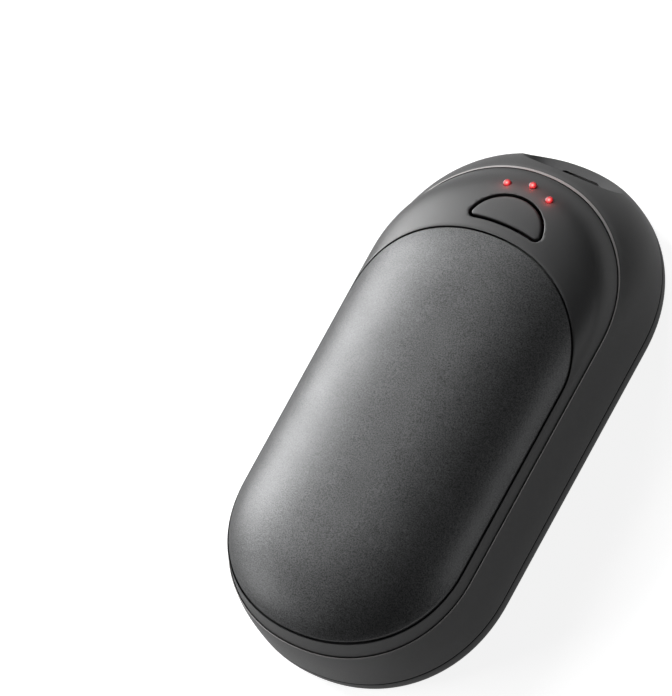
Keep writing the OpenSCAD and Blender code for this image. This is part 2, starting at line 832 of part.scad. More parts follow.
module switch_plunger() {
  color([0.7, 0.7, 0.7]) translate([0, stem_y, switch_high - plunger_sunk])
    cylinder(plunger_sunk + plunger_height, r = plunger_radius);
}

module indicator_leds() {
  color([0.9, 0.2, 0.15]) for (p = lamp_places) translate([p[0], p[1], board_high]) box(diode_size);
}

// A chip with legs along two sides
module chip(x, size) {
  translate([x, part_row, board_high]) {
    box(size);
    for (side = [-1, 1]) for (k = [-1:1]) translate([k * chip_pitch, side * (size[1] + chip_leg[0]) / 2, 0])
      box([chip_leg[1], chip_leg[0], size[2] / 2]);
  }
}

module charger_chip() {
  color([0.08, 0.08, 0.09]) chip(charger_x, charger_size);
}

module control_chip() {
  color([0.08, 0.08, 0.09]) chip(control_x, control_size);
}

module power_inductor() {
  color([0.25, 0.25, 0.27]) difference() {
    translate([inductor_x, part_row, board_high]) box(inductor_size);
    translate([inductor_x, part_row, board_high + inductor_size[2] / 2])
      cylinder(inductor_size[2], r = inductor_core);
  }
}

module board_capacitors() {
  color([0.6, 0.5, 0.35]) for (column = [-1, 1]) for (row = [-1:1]) translate([
    capacitor_place[0] + column * capacitor_pitch[0] / 2,
    capacitor_place[1] + row * capacitor_pitch[1],
    board_high
  ]) box(capacitor_size);
}

module battery_socket() {
  well = battery_socket_size[2] - plug_depth;
  color([0.85, 0.83, 0.75]) translate([plug_x, part_row, board_high]) difference() {
    box(battery_socket_size);
    translate([0, 0, well]) box([plug_size[0] + seat, plug_size[1] + seat, battery_socket_size[2]]);
  }
}

module battery_plug() {
  color([0.9, 0.88, 0.8]) translate([plug_x, part_row, plug_top - plug_size[2]]) box(plug_size);
}

module battery_lead_red() {
  color([0.75, 0.1, 0.08]) lead(red_route, lead_diameter);
}

module battery_lead_black() {
  color([0.06, 0.06, 0.06]) lead(black_route, lead_diameter);
}

module cell(side) {
  color([0.25, 0.35, 0.6]) translate([side * cell_x, cell_low_y, cell_z]) rotate([-90, 0, 0]) {
    cylinder(cell_length, r = cell_radius);
    cylinder(cell_length + nub_height, r = nub_radius);
  }
}

module cell_left() {
  cell(-1);
}

module cell_right() {
  cell(1);
}

module cell_insulators() {
  color([0.85, 0.8, 0.65]) for (side = [-1, 1])
    translate([side * cell_x, cell_high_y, cell_z]) rotate([-90, 0, 0]) difference() {
      cylinder(insulator_sheet, r = cell_radius - insulator_margin);
      translate([0, 0, -over]) cylinder(insulator_sheet + 2 * over, r = insulator_bore);
    }
}

module nickel_strip(y) {
  half = cell_x + strip_reach;
  color([0.75, 0.73, 0.68]) translate([-half, y, cell_z - strip_half_height])
    cube([2 * half, strip_sheet, 2 * strip_half_height]);
}

module nickel_strip_top() {
  nickel_strip(strip_y);
}

module nickel_strip_bottom() {
  nickel_strip(cell_low_y - strip_sheet);
}

// A spine in the valley under the cells, with a foot across each end
module battery_cradle() {
  color([0.22, 0.22, 0.23]) difference() {
    union() {
      for (y = saddle_places) translate([0, y, floor_z])
        box([2 * rib_half_width, saddle_sheet, spine_share * cell_radius]);
      translate([-spine_half_width, saddle_places[0], floor_z])
        cube([2 * spine_half_width, saddle_places[1] - saddle_places[0], spine_share * cell_radius]);
    }
    cell_room();
  }
}

module front_heater() {
  color([0.75, 0.45, 0.15])
    drape(grown(front_window, -heater_margin), -panel_sheet - seat - heater_film, -panel_sheet - seat);
}

module rear_heater() {
  color([0.75, 0.45, 0.15])
    prism(grown(back_window, -slack), back_panel_sheet, back_panel_sheet + heater_film);
}

module front_foam_pad() {
  high = -panel_sheet - heater_film - 2 * seat;
  color([0.5, 0.5, 0.52]) difference() {
    drape(grown(front_window, -heater_margin - foam_margin), high - front_foam, high);
    cell_room();
  }
}

module rear_foam_pad() {
  color([0.5, 0.5, 0.52])
    prism(grown(back_window, -slack - foam_margin), back_panel_sheet + heater_film, floor_z);
}

module front_heater_leads() {
  color([0.8, 0.8, 0.78]) for (x = front_lead_places) lead(front_route(x), thin_lead);
}

module rear_heater_leads() {
  color([0.8, 0.8, 0.78]) for (x = rear_lead_places) lead(rear_route(x), thin_lead);
}

module thermistor() {
  color([0.15, 0.15, 0.15]) {
    translate([0, bead_y, bead_z]) sphere(bead_radius);
    lead(thermistor_route, thin_lead);
  }
}

module casing_screws() {
  color([0.7, 0.7, 0.72]) for (p = post_places) translate([p[0], p[1], head_low]) difference() {
    union() {
      cylinder(head_height, r = head_diameter / 2);
      cylinder(head_height + screw_length, r = screw_diameter / 2);
    }
    translate([0, 0, -over]) cylinder(head_height / 2 + over, r = hex_share * head_diameter / 2, $fn = 6);
  }
}

back_shell();
side_frame();
front_bezel();
front_heat_panel();
back_heat_panel();
power_button();
light_guide();
port_cover();
cover_anchor();
charge_socket();
socket_tongue();
main_board();
tact_switch();
switch_plunger();
indicator_leds();
charger_chip();
control_chip();
power_inductor();
board_capacitors();
battery_socket();
battery_plug();
battery_lead_red();
battery_lead_black();
cell_left();
cell_right();
cell_insulators();
nickel_strip_top();
nickel_strip_bottom();
battery_cradle();
front_heater();
rear_heater();
front_foam_pad();
rear_foam_pad();
front_heater_leads();
rear_heater_leads();
thermistor();
casing_screws();
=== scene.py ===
import json
import math

import bmesh
import bpy
from mathutils import Matrix, Vector


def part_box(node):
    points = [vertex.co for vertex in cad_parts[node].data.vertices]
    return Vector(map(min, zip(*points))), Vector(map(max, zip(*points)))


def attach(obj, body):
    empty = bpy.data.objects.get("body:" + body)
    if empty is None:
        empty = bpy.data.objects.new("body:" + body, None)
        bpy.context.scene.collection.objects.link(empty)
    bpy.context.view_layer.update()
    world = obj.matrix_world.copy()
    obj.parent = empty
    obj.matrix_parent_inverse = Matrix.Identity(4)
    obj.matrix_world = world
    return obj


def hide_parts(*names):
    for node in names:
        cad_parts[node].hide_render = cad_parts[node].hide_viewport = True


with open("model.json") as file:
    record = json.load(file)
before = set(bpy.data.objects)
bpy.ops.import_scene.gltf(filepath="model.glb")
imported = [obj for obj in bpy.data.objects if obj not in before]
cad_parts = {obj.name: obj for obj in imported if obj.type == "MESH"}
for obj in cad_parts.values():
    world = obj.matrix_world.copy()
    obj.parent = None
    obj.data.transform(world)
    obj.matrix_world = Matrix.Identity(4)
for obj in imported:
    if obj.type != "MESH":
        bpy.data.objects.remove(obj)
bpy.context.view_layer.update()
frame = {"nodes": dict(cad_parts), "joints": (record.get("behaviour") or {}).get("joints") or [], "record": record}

MM = 0.001

# Driving sizes, read from the frame
frame_low, frame_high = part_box("side_frame")
panel_low, panel_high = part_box("front_heat_panel")
plate_low, plate_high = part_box("back_heat_panel")
cover_low, cover_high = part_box("port_cover")

HALF_WIDTH = frame_high.x
TOP_Y = frame_high.y
SEAM_Z = frame_low.z
CROWN_Z = frame_high.z
CROWN_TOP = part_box("front_bezel")[1].z
WIDTH = 2 * HALF_WIDTH
BAND_HEIGHT = CROWN_Z - SEAM_Z
CROWN_RISE = CROWN_TOP - CROWN_Z
PANEL_PROUD = panel_high.z - CROWN_TOP
PLATE_SHEET = plate_high.z - plate_low.z
WALL = 1.6 * MM
BACK_EDGE = 6 * MM

# Powers of the outlines' round ends, the band's lean, the crown, the back's edge and the panel's pillow
CORNER_POWER = 2.12
BAND_POWER = 2.4
CROWN_POWER = 2.4
BACK_POWER = 3.0
PILLOW_POWER = 3

# Gaps between the visible pieces
PANEL_GAP = 0.3 * MM
PLATE_GAP = 0.15 * MM
BUTTON_GAP = 0.3 * MM
BUTTON_EASE = 0.1 * MM
LAMP_GAP = 0.05 * MM
COVER_GAP = 0.2 * MM
RIM_GAP = 0.2 * MM

# Small edges: each is rounded in two steps, with a point at this share of its size both ways
EDGE = 0.1 * MM
PLATE_EDGE = 0.15 * MM
EDGE_SHARE = 0.3

# The groove in each half of the seam: its height and its depth
SEAM_GROOVE = 0.15 * MM
SEAM_DEPTH = 0.5 * MM

# How far a cutting solid runs past what it cuts
OVERRUN = 1 * MM


# Outlines

class Form:
    """A rounded outline: half width, depth of its top and low caps, and where the caps' middles lie."""

    def __init__(self, half, top, low, low_mid, top_mid):
        self.sizes = (half, top, low)
        self.half, self.top, self.low = half, top, low
        self.low_mid, self.top_mid = low_mid, top_mid

    def grown(self, distance):
        return Form(*(size + distance for size in self.sizes), self.low_mid, self.top_mid)

    def scaled(self, share):
        return Form(*(size * share for size in self.sizes), self.low_mid, self.top_mid)

    def mixed(self, other, share):
        pairs = zip(self.sizes + (self.low_mid, self.top_mid), other.sizes + (other.low_mid, other.top_mid))
        return Form(*(one + (two - one) * share for one, two in pairs))

    def share(self, x, y):
        """How far out a point lies: 0 on the middle line, 1 on the outline."""
        terms = (abs(x) / self.half, max(y - self.top_mid, 0) / self.top, max(self.low_mid - y, 0) / self.low)
        return sum(term ** CORNER_POWER for term in terms) ** (1 / CORNER_POWER)

    def point(self, station):
        """The outline's point at a station."""
        angle, along = station
        across, up = soft_power(math.cos(angle)), soft_power(math.sin(angle))
        middle = self.low_mid + (self.top_mid - self.low_mid) * along
        return self.half * across, middle + (self.top if up > 0 else self.low) * up


def soft_power(value):
    return math.copysign(abs(value) ** (2 / CORNER_POWER), value) if abs(value) > 1e-9 else 0.0


def node_form(low, high, top_share, low_share):
    """The outline that fills a box, with its caps' depths given as shares of the casing's width."""
    top, bottom = top_share * WIDTH, low_share * WIDTH
    return Form(high.x, top, bottom, low.y + bottom, high.y - top)


# How far inside the casing's outline the crown's foot lies, at the button end, the plain end and the sides
TOP_SETBACK = 6.2 * MM
LOW_SETBACK = 0.6 * MM
SIDE_SETBACK = 1.95 * MM

# Depths of the caps at the button end and at the plain end, as shares of the width
CROWN_CAPS = (0.48, 0.454)
PANEL_CAPS = (0.384, 0.422)

SEAM = Form(HALF_WIDTH, HALF_WIDTH, HALF_WIDTH, HALF_WIDTH - TOP_Y, TOP_Y - HALF_WIDTH)
crown_corner_low = Vector((SIDE_SETBACK - HALF_WIDTH, LOW_SETBACK - TOP_Y, CROWN_Z))
crown_corner_high = Vector((HALF_WIDTH - SIDE_SETBACK, TOP_Y - TOP_SETBACK, CROWN_Z))
CROWN = node_form(crown_corner_low, crown_corner_high, *CROWN_CAPS)
PANEL = node_form(panel_low, panel_high, *PANEL_CAPS)
PLATE = SEAM.grown(plate_high.x - HALF_WIDTH)

# Stations round an outline, as an angle and a share of the way up the straight side
HALF_TURN = 120
STRAIGHT = 16
STATIONS = (
    [(math.pi * i / HALF_TURN, 1.0) for i in range(HALF_TURN + 1)]
    + [(math.pi, 1 - i / STRAIGHT) for i in range(1, STRAIGHT)]
    + [(math.pi * (1 + i / HALF_TURN), 0.0) for i in range(HALF_TURN + 1)]
    + [(2 * math.pi, i / STRAIGHT) for i in range(1, STRAIGHT)]
)


def ring(form, height):
    """Points round an outline. The form may depend on the station, and the height on the point's place."""
    points = []
    for station in STATIONS:
        x, y = (form(station) if callable(form) else form).point(station)
        points.append((x, y, height(x, y) if callable(height) else height))
    return points


def station_ring(form_at, height_at):
    """Points round an outline whose form and height both depend on the station."""
    return [(*form_at(station).point(station), height_at(station)) for station in STATIONS]


def crown_height(x, y):
    return CROWN_Z + CROWN_RISE * max(1 - CROWN.share(x, y) ** CROWN_POWER, 0) ** (1 / CROWN_POWER)


def below_crown(drop):
    """A height for a ring: this far below the crown's surface."""
    return lambda x, y: crown_height(x, y) - drop


def panel_height(x, y):
    return crown_height(x, y) + PANEL_PROUD * max(1 - PANEL.share(x, y) ** PILLOW_POWER, 0)


def side_form(z):
    """The casing's outline at a height: the back's rounded edge below the seam, the leaning band above it."""
    if z < SEAM_Z:
        inner = 1 - max(z, 0) / SEAM_Z
        return SEAM.grown(-BACK_EDGE * (1 - (1 - inner ** BACK_POWER) ** (1 / BACK_POWER)))
    return SEAM.mixed(CROWN, min((z - SEAM_Z) / BAND_HEIGHT, 1) ** BAND_POWER)


# Meshes

SHARP_ANGLE = math.radians(35)


def mesh_piece(name, points, faces):
    mesh = bpy.data.meshes.new(name)
    mesh.from_pydata(points, [], faces)
    work = bmesh.new()
    work.from_mesh(mesh)
    bmesh.ops.recalc_face_normals(work, faces=work.faces)
    work.to_mesh(mesh)
    work.free()
    piece = bpy.data.objects.new(name, mesh)
    bpy.context.scene.collection.objects.link(piece)
    return piece


def loft(name, rings, around=False):
    """Joins rings of points into a solid: capped at both ends, or closed on itself when it goes around."""
    count = len(rings[0])
    points = [point for one in rings for point in one]
    faces = []
    for k in range(len(rings) if around else len(rings) - 1):
        near, far = k * count, (k + 1) % len(rings) * count
        for i in range(count):
            j = (i + 1) % count
            faces.append((near + i, near + j, far + j, far + i))
    if not around:
        for first in (0, (len(rings) - 1) * count):
            corners = points[first:first + count]
            points.append(tuple(sum(corner[axis] for corner in corners) / count for axis in range(3)))
            faces += [(first + i, first + (i + 1) % count, len(points) - 1) for i in range(count)]
    return mesh_piece(name, points, faces)


def combine(piece, other, operation):
    """Joins another solid to a piece, cuts it away or keeps what both share, and deletes the other."""
    modifier = piece.modifiers.new(operation.lower(), "BOOLEAN")
    modifier.operation = operation
    modifier.solver = "MANIFOLD"
    modifier.object = other
    depsgraph = bpy.context.evaluated_depsgraph_get()
    result = bpy.data.meshes.new_from_object(piece.evaluated_get(depsgraph))
    piece.modifiers.clear()
    old = piece.data
    piece.data = result
    bpy.data.meshes.remove(old)
    bpy.data.objects.remove(other)


def cut(piece, other):
    combine(piece, other, "DIFFERENCE")


def join(piece, other):
    combine(piece, other, "UNION")


def stadium(length, width, steps=24):
    """An outline with two straight sides and round ends."""
    reach, radius = (length - width) / 2, width / 2
    angles = [math.pi * (i / steps - 0.5) for i in range(steps + 1)]
    right = [(reach + radius * math.cos(angle), radius * math.sin(angle)) for angle in angles]
    return right + [(-x, -y) for x, y in right]


def circle(radius, steps=48):
    angles = [2 * math.pi * i / steps for i in range(steps)]
    return [(radius * math.cos(angle), radius * math.sin(angle)) for angle in angles]


def upright(outline, place, low, high):
    """A solid that stands on an outline, between two heights."""
    return loft("prism", [[(place[0] + x, place[1] + y, z) for x, y in outline] for z in (low, high)])


def finish(piece, body, slot, *nodes):
    """Shades a piece, gives it its finish, sets it on its body and hides the nodes it stands for."""
    piece.data.shade_smooth()
    piece.data.set_sharp_from_angle(angle=SHARP_ANGLE)
    piece.data.materials.clear()
    piece.data.materials.append(FINISHES[slot])
    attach(piece, body)
    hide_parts(*nodes)
    return piece


# Materials

# The range of a noise's middle values, and how many grains wide a patch of the tint is
NOISE_LOW, NOISE_HIGH = 0.3, 0.7
PATCH = 25


def new_material(name):
    material = bpy.data.materials.new(name)
    material.use_nodes = True
    nodes, links = material.node_tree.nodes, material.node_tree.links
    return material, nodes, links, nodes["Principled BSDF"]


def noise(nodes, links, coordinates, scale, detail):
    texture = nodes.new("ShaderNodeTexNoise")
    texture.inputs["Scale"].default_value = scale
    texture.inputs["Detail"].default_value = detail
    links.new(coordinates.outputs["Object"], texture.inputs["Vector"])
    return texture.outputs["Fac"]


def spread(nodes, links, source, low, high):
    """Maps a noise's middle values onto a range."""
    mapped = nodes.new("ShaderNodeMapRange")
    mapped.inputs["From Min"].default_value = NOISE_LOW
    mapped.inputs["From Max"].default_value = NOISE_HIGH
    mapped.inputs["To Min"].default_value = low
    mapped.inputs["To Max"].default_value = high
    links.new(source, mapped.inputs["Value"])
    return mapped.outputs["Result"]


def calculated(nodes, links, operation, *values):
    """The result of a math node. Each value is a socket or a number."""
    node = nodes.new("ShaderNodeMath")
    node.operation = operation
    for socket, value in zip(node.inputs, values):
        if isinstance(value, bpy.types.NodeSocket):
            links.new(value, socket)
        else:
            socket.default_value = value
    return node.outputs["Value"]


def grained(name, colour, roughness, metallic=0.0, grain=0.2 * MM, depth=0.004 * MM, mottle=0.1,
            colour_mottle=0.06, speckle=0.0, **sockets):
    """A finish with a fine grain: bump, roughness and colour all vary at their own scales."""
    material, nodes, links, shader = new_material(name)
    coordinates = nodes.new("ShaderNodeTexCoord")
    fine = noise(nodes, links, coordinates, 1 / grain, 2.0)
    wide = noise(nodes, links, coordinates, 1 / (PATCH * grain), 3.0)
    links.new(spread(nodes, links, fine, roughness * (1 - mottle), roughness * (1 + mottle)),
              shader.inputs["Roughness"])
    tint = nodes.new("ShaderNodeMix")
    tint.data_type = "RGBA"
    tint.inputs["A"].default_value = (*(level * (1 - colour_mottle) for level in colour), 1)
    tint.inputs["B"].default_value = (*(min(level * (1 + colour_mottle), 1) for level in colour), 1)
    links.new(spread(nodes, links, wide, 0, 1), tint.inputs["Factor"])
    fleck = nodes.new("ShaderNodeMix")
    fleck.data_type = "RGBA"
    fleck.blend_type = "MULTIPLY"
    fleck.inputs["Factor"].default_value = 1
    links.new(tint.outputs["Result"], fleck.inputs["A"])
    links.new(spread(nodes, links, fine, 1 - speckle, 1 + speckle), fleck.inputs["B"])
    links.new(fleck.outputs["Result"], shader.inputs["Base Color"])
    bump = nodes.new("ShaderNodeBump")
    bump.inputs["Strength"].default_value = 1.0
    bump.inputs["Distance"].default_value = depth
    links.new(fine, bump.inputs["Height"])
    links.new(bump.outputs["Normal"], shader.inputs["Normal"])
    shader.inputs["Metallic"].default_value = metallic
    for socket, value in sockets.items():
        shader.inputs[socket.replace("_", " ")].default_value = value
    return material


# The look of each slot
LOOKS = {
    "casing_grey": dict(colour=(0.016, 0.016, 0.0165), roughness=0.48, grain=0.15 * MM, depth=0.012 * MM,
                        speckle=0.2, Specular_IOR_Level=0.7),
    "panel_graphite": dict(colour=(0.085, 0.086, 0.087), roughness=0.47, metallic=0.85, grain=0.22 * MM,
                           depth=0.03 * MM, mottle=0.15, speckle=0.45),
    "button_grey": dict(colour=(0.018, 0.018, 0.0185), roughness=0.46, grain=0.15 * MM, depth=0.012 * MM,
                        speckle=0.2, Specular_IOR_Level=0.7),
    "lamp_clear": dict(colour=(0.03, 0.002, 0.002), roughness=0.3, grain=0.3 * MM, depth=0.002 * MM),
    "cover_rubber": dict(colour=(0.018, 0.018, 0.019), roughness=0.55, grain=0.1 * MM, depth=0.003 * MM),
    "socket_steel": dict(colour=(0.7, 0.7, 0.71), roughness=0.25, metallic=1.0, depth=0.001 * MM),
    "dark_plastic": dict(colour=(0.03, 0.03, 0.03), roughness=0.4),
    "board_green": dict(colour=(0.02, 0.12, 0.05), roughness=0.35, colour_mottle=0.2),
    "plunger_white": dict(colour=(0.7, 0.7, 0.68), roughness=0.4),
    "diode_red": dict(colour=(0.8, 0.05, 0.03), roughness=0.2),
    "chip_black": dict(colour=(0.015, 0.015, 0.017), roughness=0.5),
    "ferrite_grey": dict(colour=(0.12, 0.12, 0.13), roughness=0.55),
    "ceramic_tan": dict(colour=(0.45, 0.34, 0.2), roughness=0.5),
    "connector_white": dict(colour=(0.78, 0.76, 0.7), roughness=0.4),
    "lead_red": dict(colour=(0.55, 0.03, 0.02), roughness=0.45),
    "lead_black": dict(colour=(0.02, 0.02, 0.02), roughness=0.45),
    "cell_sleeve": dict(colour=(0.06, 0.14, 0.36), roughness=0.3, grain=0.6 * MM),
    "insulator_paper": dict(colour=(0.6, 0.55, 0.42), roughness=0.8, mottle=0.05),
    "nickel": dict(colour=(0.66, 0.63, 0.58), roughness=0.3, metallic=1.0),
    "heater_film": dict(colour=(0.6, 0.3, 0.06), roughness=0.25),
    "foam_grey": dict(colour=(0.25, 0.25, 0.26), roughness=0.9, grain=0.5 * MM, depth=0.08 * MM, mottle=0.03),
    "heater_lead_white": dict(colour=(0.75, 0.74, 0.7), roughness=0.45),
    "screw_steel": dict(colour=(0.5, 0.5, 0.51), roughness=0.3, metallic=1.0),
}
FINISHES = {slot: grained(slot, **look) for slot, look in LOOKS.items()}

# The frame's ledge gets a pale colour of its own, face by face: a painted highlight where its faces look up
RIM_PAINTED_HIGHLIGHT = grained("rim_painted_highlight", colour=(0.34, 0.325, 0.32), roughness=0.42, grain=0.15 * MM, depth=0.006 * MM)


# The frame's rim and the band below it

# How far the rim's inner edge lies inside the crown's foot, and how much higher it lies at the button end
RIM_INSET_TOP, RIM_INSET_SIDE = 0.85 * MM, 0.03 * MM
RIM_RISE = 2.2 * MM

# The share of that rise that the band's wall takes, and the power with which it grows from the seam up
BAND_LIFT = 0.45
BAND_LIFT_POWER = 6

# Width and fall of the ledge, and the least upward part of the normals of the faces that get its painted highlight
LEDGE_TOP, LEDGE_SIDE = 0.5 * MM, 0.12 * MM
LEDGE_DROP, LEDGE_DROP_SIDE = 0.35 * MM, 0.12 * MM
LEDGE_HIGHLIGHT_SLOPE = 0.2

# How far the rim's inner face reaches below the crown's foot. The bezel's outer face ends just above that
RIM_DEPTH = 0.9 * MM


def between_ends(station, side, top):
    """A size that changes from its value at the sides and the plain end to that at the button end."""
    return side + (top - side) * max(math.sin(station[0]), 0) ** 2


def rim_form(station, extra=0.0):
    """The rim's inner edge, which lies further in at the button end than elsewhere."""
    return CROWN.grown(-between_ends(station, RIM_INSET_SIDE, RIM_INSET_TOP) - extra)


def rim_height(station):
    return CROWN_Z + between_ends(station, 0, RIM_RISE)


def ledge_foot(station):
    """The outer edge of the ledge round the rim, whose upward faces carry a painted highlight."""
    return rim_form(station).grown(between_ends(station, LEDGE_SIDE, LEDGE_TOP))


def ledge_drop(station):
    return between_ends(station, LEDGE_DROP_SIDE, LEDGE_DROP)


def band_shell():
    """The side band: the seam's groove, the leaning wall, the ledge, the rim and the inside of the wall."""
    steps = 28
    low = SEAM_Z + SEAM_GROOVE + EDGE
    top = CROWN_Z - LEDGE_DROP
    rings = [
        ring(SEAM.grown(-SEAM_DEPTH), SEAM_Z),
        ring(SEAM.grown(-SEAM_DEPTH), SEAM_Z + SEAM_GROOVE),
        ring(SEAM.grown(-EDGE), SEAM_Z + SEAM_GROOVE),
        ring(SEAM.grown(-EDGE_SHARE * EDGE), SEAM_Z + SEAM_GROOVE + EDGE_SHARE * EDGE),
    ]
    for k in range(steps + 1):
        z = low + (top - low) * k / steps
        wall = side_form(z)
        lift = RIM_RISE * BAND_LIFT * ((z - SEAM_Z) / (top - SEAM_Z)) ** BAND_LIFT_POWER
        rings.append(station_ring(lambda station: wall, lambda station: z + between_ends(station, 0, lift)))

    # From the wall's top to the ledge's outer edge
    wall = side_form(top)
    for share in (0.33, 0.67, 1):
        lift = RIM_RISE * (BAND_LIFT + (1 - BAND_LIFT) * share)

        def height(station):
            return top + between_ends(station, 0, lift) + share * (LEDGE_DROP - ledge_drop(station))

        rings.append(station_ring(lambda station: wall.mixed(ledge_foot(station), share), height))
    rings.append(station_ring(rim_form, rim_height))
    rings.append(ring(rim_form, CROWN_Z - RIM_DEPTH))
    for k in range(steps + 1):
        z = CROWN_Z - RIM_DEPTH + (SEAM_Z - CROWN_Z + RIM_DEPTH) * k / steps
        rings.append(ring(side_form(z).grown(-WALL), z))
    return loft("side_frame_visual", rings, around=True)


def takes_ledge_highlight(face):
    """Whether a face of the frame is an upward face of the ledge round its rim, which gets the painted highlight.
    """
    across = min(abs(face.center.x) / CROWN.half, 1) ** (CORNER_POWER / 2)
    up = max((face.center.y - CROWN.top_mid) / CROWN.top, 0) ** (CORNER_POWER / 2)
    station = (math.atan2(up, across), 1)
    return face.normal.z > LEDGE_HIGHLIGHT_SLOPE and face.center.z > rim_height(station) - ledge_drop(station)


# The scoop in the button end, and the strap slot through its floor

SCOOP_CENTRE = (0, TOP_Y + 2 * MM, SEAM_Z + 6 * MM)
SCOOP_SIZES = (13 * MM, 8 * MM, 6 * MM)
SCOOP_FLOOR_POWER = 4
SCOOP_FLOOR_LIFT = 0.2 * MM
SCOOP_FLOOR_SLOPE = 0.22
SLOT_LENGTH, SLOT_WIDTH = 8 * MM, 2 * MM
SLOT_Y = TOP_Y - 2.8 * MM


def scoop(grow=0.0, steps=72):
    """The hollow: round above its middle, fuller below it, with a nearly flat floor that falls outwards."""
    reach, depth, rise = (size + grow for size in SCOOP_SIZES)
    angles = [math.pi * i / steps for i in range(2 * steps)]
    rings = []
    for k in range(1, steps):
        level = -math.cos(math.pi * k / steps)
        power = SCOOP_FLOOR_POWER if level < 0 else 2
        lift = SCOOP_FLOOR_LIFT if level < 0 else 0
        slope = -SCOOP_FLOOR_SLOPE * min(level, 0)
        share = (1 - abs(level) ** power) ** (1 / power)
        rings.append([
            (
                SCOOP_CENTRE[0] + reach * share * math.cos(angle),
                SCOOP_CENTRE[1] + depth * share * math.sin(angle),
                SCOOP_CENTRE[2] + (rise - lift) * level - slope * depth * share * math.sin(angle),
            )
            for angle in angles
        ])
    return loft("scoop", rings)


def strap_slot(low, high):
    return upright(stadium(SLOT_LENGTH, SLOT_WIDTH), (0, SLOT_Y), low, high)


# The port cover and the bay behind it, along the corner from the hinge's end to the side

HINGE_ANGLE = math.radians(118)
HINGE_PLACE = next(joint["pos_m"] for joint in frame["joints"] if joint["name"] == "cover_hinge")
KNUCKLE_RADIUS = 0.6 * MM
COVER_LOW, COVER_HIGH = cover_low.z, cover_high.z
COVER_MID = (COVER_LOW + COVER_HIGH) / 2
COVER_SHEET = 1.8 * MM
COVER_DIP = 0.5 * MM
COVER_EDGE = 0.35 * MM
TAB_LENGTH, TAB_HEIGHT, TAB_CORNER = 5.6 * MM, 5 * MM, 1.2 * MM
TAB_ROOT, TAB_PROUD, TAB_EDGE = 1.2 * MM, 0.7 * MM, 0.45 * MM
TAB_ANGLE = math.pi - math.asin((TAB_LENGTH / 2 + COVER_GAP) / HALF_WIDTH)

# The bay, the angle of its gap at the hinge's end, and the wall behind it and round it
BAY_DEPTH = COVER_SHEET + COVER_GAP
BAY_GAP_ANGLE = math.radians(0.47)
BAY_WALL = 1.4 * MM
BAY_RIM = 1.2 * MM
BAY_RIM_ANGLE = math.radians(6)

# The hole in the bay's wall, in front of the charge socket
SOCKET_ANGLE = math.radians(150)
SOCKET_HOLE_SIZE = (9.34 * MM, 3.66 * MM)
SOCKET_HOLE_DEPTH = 10 * MM


def corner_point(angle, depth, z, extra=0.0):
    """A point at a depth under the casing's side, at an angle round the corner or past it along the side."""
    x, y = side_form(z).grown(-depth).point((min(angle, math.pi), 1.0))
    return x, y - extra, z


def corner_block(name, section_at, first, last, extra, steps=64):
    """A block along the corner: each share of the way has its section, a closed loop of (depth, z)."""
    path = [(first + (last - first) * k / steps, 0.0) for k in range(steps + 1)]
    if extra:
        path.append((last, extra))
    rings = []
    for k, (angle, past) in enumerate(path):
        section = section_at(k / (len(path) - 1))
        rings.append([corner_point(angle, depth, z, past) for depth, z in section])
    return loft(name, rings)


def block_section(near, far, low, high, steps=16):
    up = [low + (high - low) * k / steps for k in range(steps + 1)]
    return [(near, z) for z in up] + [(far, z) for z in reversed(up)]


def along_radius(name, angle, outlines):
    """A solid along a radius of the button end's round: each outline (along, up) has its own reach."""
    outward = Vector((math.cos(angle), math.sin(angle), 0))
    sideways = Vector((-outward.y, outward.x, 0))
    middle = Vector((0, SEAM.top_mid, COVER_MID))
    rings = []
    for reach, outline in outlines:
        centre = middle + outward * reach
        rings.append([tuple(centre + sideways * along + Vector((0, 0, up))) for along, up in outline])
    return loft(name, rings)


def cover_top(share):
    """The cover's upper edge dips a little between its ends."""
    return COVER_HIGH - COVER_DIP * math.sin(math.pi * min(max(share, 0), 1)) ** 2


def cut_port(piece):
    """Cuts the bay for the cover, the knuckle's seat and the hole for the charge socket."""
    low, high = COVER_LOW - COVER_GAP, COVER_HIGH + COVER_GAP

    def section(share):
        return block_section(-OVERRUN, BAY_DEPTH, low, cover_top(share) + COVER_GAP)

    cut(piece, corner_block("bay", section, HINGE_ANGLE - BAY_GAP_ANGLE, math.pi, COVER_GAP))
    cut(piece, upright(circle(KNUCKLE_RADIUS + COVER_GAP), HINGE_PLACE, low, high))
    hole = stadium(*SOCKET_HOLE_SIZE)
    reaches = (HALF_WIDTH - SOCKET_HOLE_DEPTH, HALF_WIDTH - BAY_DEPTH / 2)
    cut(piece, along_radius("socket_hole", SOCKET_ANGLE, [(reach, hole) for reach in reaches]))


def port_wall(low, high):
    """The wall behind the bay and round it, between two heights."""
    return corner_block("wall", lambda share: block_section(WALL / 2, BAY_DEPTH + BAY_WALL, low, high),
                        HINGE_ANGLE - BAY_RIM_ANGLE, math.pi, COVER_GAP + BAY_RIM)


def cover_section(share, steps=20, edge_steps=6):
    """The cover's section at a share of its length: rounded outer edges and a flat inner face."""
    low, high = COVER_LOW, cover_top(share)
    angles = [math.pi / 2 * k / edge_steps for k in range(edge_steps, -1, -1)]
    corner = [(COVER_EDGE * (1 - math.cos(angle)), COVER_EDGE * (1 - math.sin(angle))) for angle in angles]
    lower = [(depth, low + up) for depth, up in corner]
    upper = [(depth, low + high - z) for depth, z in reversed(lower)]
    span = high - low - 2 * COVER_EDGE
    outer = [(0.0, low + COVER_EDGE + span * k / steps) for k in range(steps + 1)]
    return [(COVER_SHEET, low), *lower, *outer, *upper, (COVER_SHEET, high)]


def rounded_outline(length, height, radius, steps=10):
    """A rectangle with round corners, its middle at zero."""
    points = []
    for quarter, (along, up) in enumerate(((1, 1), (-1, 1), (-1, -1), (1, -1))):
        for k in range(steps + 1):
            angle = math.pi / 2 * (quarter + k / steps)
            points.append((along * (length / 2 - radius) + radius * math.cos(angle),
                           up * (height / 2 - radius) + radius * math.sin(angle)))
    return points


